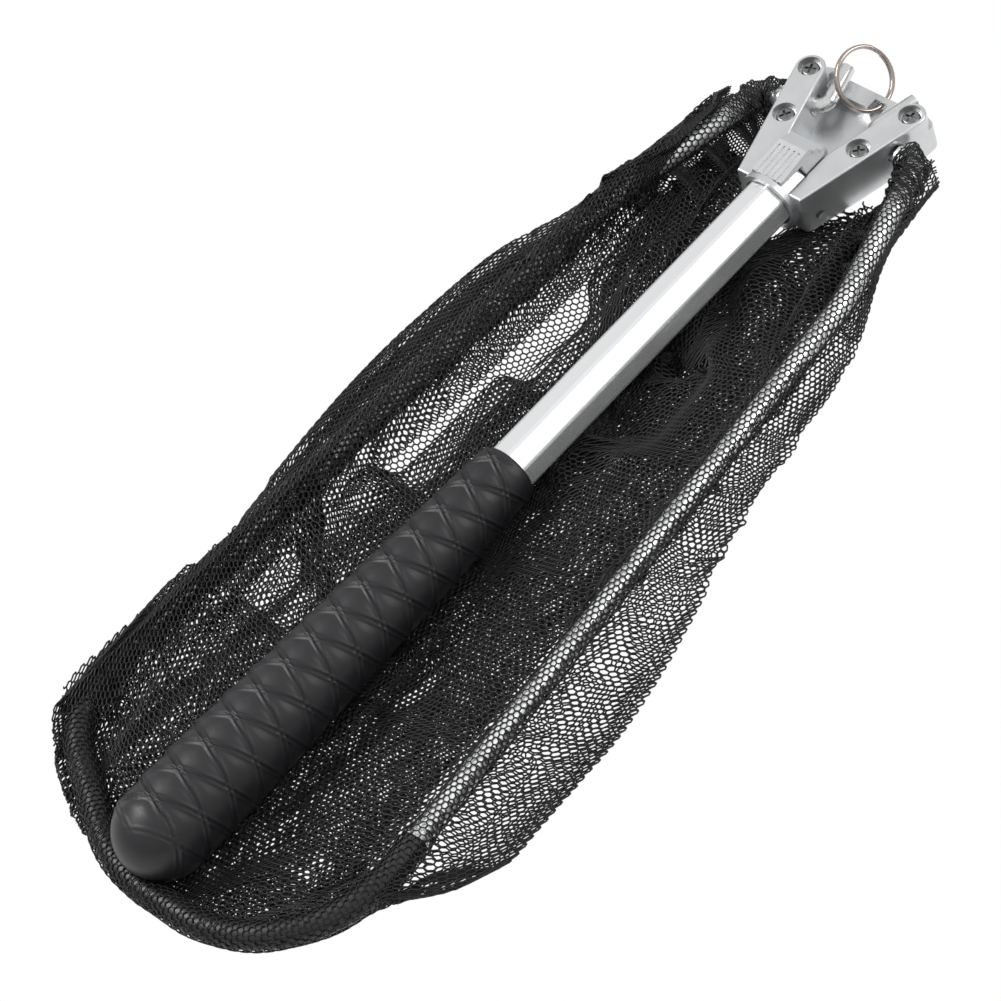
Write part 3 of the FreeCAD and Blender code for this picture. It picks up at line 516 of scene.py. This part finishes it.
def knit(name, surface, start, size, pitch=PITCH, strand=STRAND):
    """Knit one panel: size in metres from start, in the surface's UV measure."""
    return grow(name, KNIT, Surface=surface, Pitch=pitch, Strand=strand,
                Start=(start[0], start[1], 0.0), Columns=int(size[0] / pitch) + 1,
                Rows=int(size[1] / (pitch * math.sqrt(3) / 2)) + 1, Uneven=1.0 * MM)

# %% [markdown]
# ## Hem
#
# The bag's edge is a sleeve that the hoop is threaded through. It lies close on the thin rods and a
# little wider over the loop, and it is pushed together in ruffles where it ends at the head.


# %% Hem
def make_hem_surface(around=28):
    centre = hoop_to_row(whole_hoop)
    ahead = np.gradient(centre, axis=0)
    ahead /= np.linalg.norm(ahead, axis=1)[:, None]
    across = np.cross(ahead, [0, 0, 1.0])
    across /= np.linalg.norm(across, axis=1)[:, None]
    above = np.cross(across, ahead)
    step = np.concatenate([[0], np.linalg.norm(np.diff(centre, axis=0), axis=1)])
    along = np.cumsum(step)
    to_end = np.minimum(along, along[-1] - along) / MM
    on_loop = smoothstep(-whole_hoop[:, 0], 316, 326)
    gather = 1 - smoothstep(to_end, 14, 30)
    v = np.cumsum(step * (1 + 2.8 * gather))
    width = 12 * PITCH
    extra = PITCH * 1.02 / width
    angle = np.linspace(0, 2 * math.pi * (1 + extra), around + 3)
    points, uvs = [], []
    for i in range(len(centre)):
        base = 4.5 + 1.15 * on_loop[i]
        ruffle = gather[i] * (1.3 + 1.7 * np.sin(to_end[i] * 1.15) * np.sin(3 * angle + to_end[i] * 0.4))
        slack = 0.22 * np.sin(to_end[i] * 0.21 + 2 * np.sin(angle)) * (1 - gather[i])
        radius = (base + ruffle + slack) * MM
        ring_points = centre[i] + radius[:, None] * (np.cos(angle)[:, None] * across[i]
                                                     + np.sin(angle)[:, None] * above[i])
        points.extend(ring_points)
        uvs.extend(np.stack([angle / (2 * math.pi) * width, np.full(len(angle), v[i])], -1))
    return mesh_object("hem_surface", points, grid_faces(len(centre), len(angle)), uvs), width, v[-1]


hem_surface, hem_width, hem_length = make_hem_surface()
hem = knit("hem_knit", hem_surface, (0.0, 0.0), (hem_width + PITCH * 0.1, hem_length), strand=0.31 * MM)
bpy.data.objects.remove(hem_surface)
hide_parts("net_hem")
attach(hem, "hoop")
print("hem:", round(hem_width * 1000, 1), "x", round(hem_length * 1000, 1), "mm,",
      len(hem.data.polygons), "faces")

# %% [markdown]
# ### Gathers beside the head
#
# Between each rod's bend and the head the cloth is bunched up. A small ruffled surface from the rod
# to the side of the arm, knitted from twice as much cloth as it has room for, gives the dark bunch.


# %% Gathers
def make_gather_surface(name, side, rows=70, columns=26):
    line = rounded_line([(1.5, 31), (0, 37), (-64.3, 54.5)], [4])
    along = np.linspace(0, 1, rows)
    outer = np.stack([np.interp(along * 78, np.arange(len(line)), line[:, k]) for k in (0, 1)], -1)
    inner_x = np.interp(along, [0, 0.3, 0.75, 1], [3, -12, -42, -70])
    inner_y = np.interp(along, [0, 0.3, 0.75, 1], [33, 29, 24, 18])
    points, uvs = [], []
    for i, a in enumerate(along):
        for b in np.linspace(0, 1, columns):
            x = inner_x[i] * (1 - b) + outer[i, 0] * b
            y = inner_y[i] * (1 - b) + outer[i, 1] * b
            bulge = 4 * b * (1 - b)
            z = -12 * (1 - b) - 4 * a + bulge * (3.2 * math.sin(a * 34 + 3 * b) - 4 * a)
            y += bulge * 2.2 * math.sin(a * 27 + 5 * b)
            z += 1.5 * math.sin(a * 61 + 9 * b) * bulge
            x, z = x * math.cos(TILT), z + x * math.sin(TILT) * b
            points.append((HINGE.x + x * MM, side * y * MM, HINGE.z + z * MM))
            uvs.append((a * 210 * MM, b * 44 * MM))
    return mesh_object(name, points, grid_faces(rows, columns), uvs)


for side_name, side in (("left", 1), ("right", -1)):
    folded = make_gather_surface("gather_surface", side)
    gather = knit("net_gather_" + side_name, folded, (0.0, 0.0), (210 * MM, 44 * MM), strand=0.4 * MM)
    bpy.data.objects.remove(folded)
    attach(gather, "hoop")
    print("gather:", side_name, len(gather.data.polygons), "faces")

# %% [markdown]
# ## Bag
#
# The bag is one wide cloth folded to and fro: from the left hem out to the left edge and back, across
# the ground, folded over beside the right rod, folded again beside the handle, then out to the right
# edge and up to the right hem. Where the folds leave only one layer, the ground shows through. Small
# pleats start at the corners of the head, where the cloth is bunched, and run down its length.
# A short cloth simulation then lets it sink onto the ground and against the hoop and handle.


# %% Bag surface
OVERHANG, WAIST, BULGE = 30, 9, 20
WINDOWS = [(83, 123, 13), (225, 250, 16)]
ROWS = 96
SEGMENTS = [4, 5, 7, 7, 7, 2, 40, 2, 30, 2, 28, 2, 28, 2, 34, 5]
FLAT_SEGMENTS = (6, 8, 10, 12, 14)
EDGE_SEGMENTS = (0, 1, 2, 3, 4, 5, 15)


def hump(value, seed):
    """Slow, repeatable wander between -1 and 1."""
    return (np.sin(value * 1.0 + seed) + 0.6 * np.sin(value * 2.3 + 1.7 * seed)
            + 0.4 * np.sin(value * 4.9 + 0.6 * seed)) / 2


def rod_line(x):
    """How far out the rod lies, that far back along the handle."""
    return np.interp(-x, -half_hoop[10:350, 0] - 2.42, half_hoop[10:350, 1])


def left_edge(x):
    """The cloth overhangs the left rod evenly, with one waist, and ends level with the loop."""
    waist = WAIST * np.exp(-((x + 75) / 25) ** 2)
    return rod_line(x) + OVERHANG * (1 - smoothstep(-x, 150, 350)) - waist - 6 * smoothstep(x, -5, 4)


def right_edge(x):
    """On the right it starts close to the rod and bulges out towards the loop."""
    out = 1 + 12 * smoothstep(-x, 20, 100) + BULGE * smoothstep(-x, 110, 260)
    return rod_line(x) + out * (1 - smoothstep(-x, 305, 350))


def inner_fold(x):
    """Where the folds beside the handle end; each window cuts the edge back and leaves one layer."""
    reach = 62 - 15 * (1 - smoothstep(-x, 176, 186)) - 12 * (1 - smoothstep(-x, 0, 60))
    for near, far, depth in WINDOWS:
        reach = reach - depth * smoothstep(-x, near - 4, near + 4) * (1 - smoothstep(-x, far - 4, far + 4))
    return reach


def bag_row(q):
    """One line of points across the folded cloth, from hem to hem, in mm."""
    edge_x = -2 - 343 * q
    left, right, rod_y = left_edge(edge_x), right_edge(edge_x), rod_line(edge_x)
    rod_z = (edge_x - 2.42) * math.sin(TILT)
    fold = inner_fold(edge_x)
    tuck = 30 * smoothstep(-edge_x, 190, 230)
    floor = -AXIS_Z / MM
    near = -(rod_y - 8)
    stops = [(rod_y + 3.5, rod_z + 3.4), (rod_y - 13, floor + 7), (rod_y - 2, rod_z + 8.5),
             (left - 1, floor + 6), (max(rod_y + 4, left - 22) - tuck, floor + 3.4),
             (left - 4, floor + 2.6), (left - 3, floor + 0.8), (near, floor + 0.8),
             (near - 1, floor + 1.6), (fold, floor + 1.6), (fold - 1, floor + 2.4),
             (near, floor + 2.4), (near - 1, floor + 3.2), (fold - 7, floor + 3.2),
             (fold - 8, floor + 4.0), (-right, floor + 3.0), (-(rod_y + 3.5), rod_z + 3.4)]
    places = [np.array(stops[0])]
    for a, b, count in zip(stops, stops[1:], SEGMENTS):
        for k in range(1, count + 1):
            places.append(np.array(a) + (np.array(b) - np.array(a)) * k / count)
    return edge_x, np.array(places)


def bag_points():
    rows, spans = [], []
    for q in np.linspace(0, 1, ROWS):
        edge_x, places = bag_row(q)
        y, z = places[:, 0], places[:, 1]
        half = np.where(y > 0, left_edge(edge_x), right_edge(edge_x))
        inward = np.clip(np.abs(y) / half, 0, 1)
        end_x = -345 - 44 * np.sqrt(np.clip(1 - inward ** 2, 0, 1))
        start_x = 7 - 29 * (1 - inward ** 2) - 24 * (1 - smoothstep(np.abs(y), 3, 9))
        x = start_x * (1 - q) + end_x * q
        rows.append(np.stack([x, y, z], -1))
    base = np.array(rows)
    columns = base.shape[1]
    order = np.arange(columns)
    kinds = np.repeat(np.arange(len(SEGMENTS)), SEGMENTS)
    kinds = np.concatenate([[0], kinds])
    q = np.linspace(0, 1, ROWS)[:, None]
    middle = base[ROWS // 2]
    u = np.concatenate([[0], np.cumsum(np.linalg.norm(np.diff(middle[:, 1:], axis=0), axis=1))])
    flat_part = np.isin(kinds, FLAT_SEGMENTS).astype(float)
    flat_part = np.convolve(np.pad(flat_part, 2, mode="edge"), np.ones(5) / 5, "valid")
    phase = 2 * math.pi * u[None, :] / 27 + 2.2 * hump(q * 4, 1.0) + 1.6 * hump(u[None, :] / 40, 3.0)
    strength = flat_part[None, :] * (0.45 + 0.55 * (1 - smoothstep(q, 0.1, 0.6)))
    strength = strength * (0.6 + 0.4 * hump(q * 6 + u[None, :] / 30, 5.0))
    base[:, :, 1] += 6.0 * strength * np.sin(phase)
    base[:, :, 2] += 3.4 * strength * (0.5 + 0.5 * np.cos(phase))
    base[:, :, 2] += 1.2 * (0.5 + 0.5 * hump(base[:, :, 0] / 14 + base[:, :, 1] / 11, 2.0)) * flat_part
    pull = 1 - smoothstep(q, 0.0, 0.3)
    y = base[:, :, 1]
    gathered = np.where(y > 0, 40 + 20 * np.clip(y / 66, 0, 1), -(34 + 8 * np.clip(-y / 40, 0, 1)))
    spread = np.clip(np.abs(y) / 20, 0, 1)
    base[:, :, 1] = y * (1 - pull * spread * 0.8) + gathered * pull * spread * 0.8
    base[:, :, 2] += pull * spread * 6 * (0.5 + 0.5 * np.sin(order * 1.9))[None, :] * flat_part
    rod_y = rod_line(base[:, :, 0])
    over = np.sqrt(np.clip(7.6 ** 2 - (base[:, :, 1] - rod_y) ** 2, 0, None))
    over = (base[:, :, 0] - 2.42) * math.sin(TILT) + over
    cover = np.isin(kinds, (0, 1, 2, 3))[None, :] & (base[:, :, 1] > 0) & (np.abs(base[:, :, 1] - rod_y) < 7.6)
    base[:, :, 2] = np.where(cover, np.maximum(base[:, :, 2], over), base[:, :, 2])
    span = np.linalg.norm(np.diff(base, axis=1), axis=2).mean(axis=0)
    u = np.concatenate([[0], np.cumsum(span)])
    depth = np.linalg.norm(np.diff(base, axis=0), axis=2)
    v = np.concatenate([[0], np.cumsum(np.median(depth, axis=1))])
    return base, u, v, kinds


def make_bag_surface():
    base, u, v, kinds = bag_points()
    rows, columns = base.shape[:2]
    points = np.stack([HEAD_X + base[:, :, 0] * MM, base[:, :, 1] * MM, AXIS_Z + base[:, :, 2] * MM], -1)
    points[:, :, 2] = np.maximum(points[:, :, 2], 0.9 * MM)
    uvs = np.stack(np.broadcast_arrays(u[None, :] * MM, v[:, None] * MM), -1).reshape(-1, 2)
    bag = mesh_object("bag_surface", points.reshape(-1, 3), grid_faces(rows, columns), uvs)
    hold = np.zeros((rows, columns))
    hold[:, [0, -1]] = 1
    hold[0, :] = 1
    hold[-1, :] = 1
    outer = np.isin(kinds, EDGE_SEGMENTS)
    hold[:, outer] = np.maximum(hold[:, outer], 0.85)
    ends = np.cumsum(SEGMENTS)
    for segment in (2, 4, 5, 14):
        hold[:, ends[segment]] = 0.9
    turns = np.isin(kinds, (7, 9, 11, 13))
    hold[:, turns] = np.maximum(hold[:, turns], 0.25)
    group = bag.vertex_groups.new(name="held")
    for index, weight in enumerate(hold.reshape(-1)):
        if weight > 0:
            group.add([index], float(weight), "REPLACE")
    return bag, u[-1] * MM, v[-1] * MM


bag, bag_width, bag_length = make_bag_surface()
print("bag cloth:", round(bag_width * 1000), "x", round(bag_length * 1000), "mm,",
      len(bag.data.vertices), "points")


# %% Let the bag sink onto the ground
def let_sink(cloth, frames):
    """Cloth simulation of a light, limp net; returns it applied, with its helpers removed."""
    helpers = []
    ground = mesh_object("sink_ground", [(-1, -1, 0), (1, -1, 0), (1, 1, 0), (-1, 1, 0)], [(0, 1, 2, 3)])
    helpers.append(ground)
    for node in ("rubber_grip", "handle_tube", "left_rod", "right_rod", "front_loop", "head_base"):
        copy = bpy.data.objects.new("sink_" + node, frame["nodes"][node].data.copy())
        scene.collection.objects.link(copy)
        helpers.append(copy)
    for helper in helpers:
        helper.modifiers.new("collision", "COLLISION")
        helper.collision.thickness_outer = 0.5 * MM
        helper.collision.cloth_friction = 20
    modifier = cloth.modifiers.new("cloth", "CLOTH")
    settings = modifier.settings
    settings.quality = 6
    settings.mass = 0.02
    settings.tension_stiffness = 8
    settings.compression_stiffness = 4
    settings.shear_stiffness = 2
    settings.bending_stiffness = 0.02
    settings.air_damping = 6
    settings.vertex_group_mass = "held"
    settings.pin_stiffness = 30
    settings.effector_weights.gravity = 0.12
    modifier.collision_settings.distance_min = 0.5 * MM
    modifier.collision_settings.use_self_collision = False
    modifier.point_cache.frame_start = 1
    modifier.point_cache.frame_end = frames
    scene.frame_start, scene.frame_end = 1, frames
    for number in range(1, frames + 1):
        scene.frame_set(number)
    seen = cloth.evaluated_get(bpy.context.evaluated_depsgraph_get())
    settled = bpy.data.meshes.new_from_object(seen)
    cloth.modifiers.clear()
    cloth.data = settled
    scene.frame_set(1)
    for helper in helpers:
        bpy.data.objects.remove(helper)


let_sink(bag, 24)
co = np.array([v.co for v in bag.data.vertices])
print("bag settled: z", (co[:, 2].min() * 1000).round(2), (co[:, 2].max() * 1000).round(2), "x",
      (co[:, 0].min() * 1000).round(1), (co[:, 0].max() * 1000).round(1), "y",
      (co[:, 1].min() * 1000).round(1), (co[:, 1].max() * 1000).round(1))
low = 0.45 * MM
for vertex in bag.data.vertices:
    vertex.co.z = max(vertex.co.z, low)

# %% [markdown]
# ### Knitting the bag
#
# The settled cloth is knitted in strips side by side, each its own piece, so that no piece gets too
# heavy. The strips join without a step because every cell looks up the same surface.

# %% Knit the bag in strips
STRIPS = 10
columns_in_strip = math.ceil(bag_width / PITCH / STRIPS)
for number in range(STRIPS):
    start = number * columns_in_strip * PITCH
    width = min(columns_in_strip * PITCH, bag_width - start)
    strip = knit("net_strip_%d" % (number + 1), bag, (start, 0.0), (width - PITCH * 0.9, bag_length))
    if number == 0:
        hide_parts("net_bag")
    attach(strip, "hoop")
    print(strip.name, round(width * 1000, 1), "mm wide,", len(strip.data.polygons), "faces")
bpy.data.objects.remove(bag)

# %% [markdown]
# ## Ground, light and camera
#
# The net lies on a lit white table, so the ground is as bright as the backdrop and takes no shadow.
# Polished metal shows what is around it: a bright ceiling, a dark wall near the horizon and two long
# soft lamps give the tube its light and dark bands.


# %% Ground and light
def emission_material(name, strength):
    made = bpy.data.materials.new(name)
    made.use_nodes = True
    tree = made.node_tree
    tree.nodes.clear()
    glow = add_node(tree, "ShaderNodeEmission", {"Color": (1, 1, 1, 1), "Strength": strength})
    output = add_node(tree, "ShaderNodeOutputMaterial")
    tree.links.new(glow.outputs[0], output.inputs[0])
    return made


floor = mesh_object("floor", [(-3, -3, -0.0004), (3, -3, -0.0004), (3, 3, -0.0004), (-3, 3, -0.0004)],
                    [(0, 1, 2, 3)])
floor.data.materials.append(emission_material("lit_table", 1.0))


def lamp(name, place, aim, size, power):
    light = bpy.data.lights.new(name, "AREA")
    light.shape, light.size, light.size_y, light.energy = "RECTANGLE", size[0], size[1], power
    made = bpy.data.objects.new(name, light)
    scene.collection.objects.link(made)
    made.location = place
    made.rotation_euler = (Vector(aim) - Vector(place)).to_track_quat("-Z", "Y").to_euler()
    return made


lamp("key", (-0.5, 0.9, 1.3), (0, 0, 0), (0.9, 0.5), 16)
lamp("fill", (0.9, -0.8, 0.9), (0, 0, 0), (0.5, 0.9), 6)

world = bpy.data.worlds.new("studio")
scene.world = world
world.use_nodes = True
tree = world.node_tree
tree.nodes.clear()
direction = add_node(tree, "ShaderNodeSeparateXYZ",
                     {0: add_node(tree, "ShaderNodeTexCoord").outputs["Generated"]})
height = Term(tree, direction.outputs["Z"])
wall = height.ramp(0.1, 0.6) * 0.7 + 0.3
seen = Term(tree, add_node(tree, "ShaderNodeLightPath").outputs["Is Camera Ray"])
level = wall * (seen * -1.0 + 1.0) + seen
sky = add_node(tree, "ShaderNodeBackground", {"Strength": level})
tree.links.new(sky.outputs[0], add_node(tree, "ShaderNodeOutputWorld").inputs[0])
scene.view_settings.view_transform = "Standard"

# %% Camera
camera = bpy.data.objects.new("camera", bpy.data.cameras.new("camera"))
scene.collection.objects.link(camera)
scene.camera = camera
back = Vector((-0.352, -0.556, 0.753)).normalized()
right = Vector((0.650, -0.724, -0.231))
right = (right - back * right.dot(back)).normalized()
up = back.cross(right)
target = Vector((HEAD_X - 181.4 * MM, 0, AXIS_Z))
camera.matrix_world = Matrix.Translation(target + back * 1.867) @ Matrix((right, up, back)).transposed().to_4x4()
camera.data.lens = 186.6
camera.data.sensor_width = 36
camera.data.shift_x, camera.data.shift_y = -0.0193, -0.041
camera.data.dof.use_dof = False
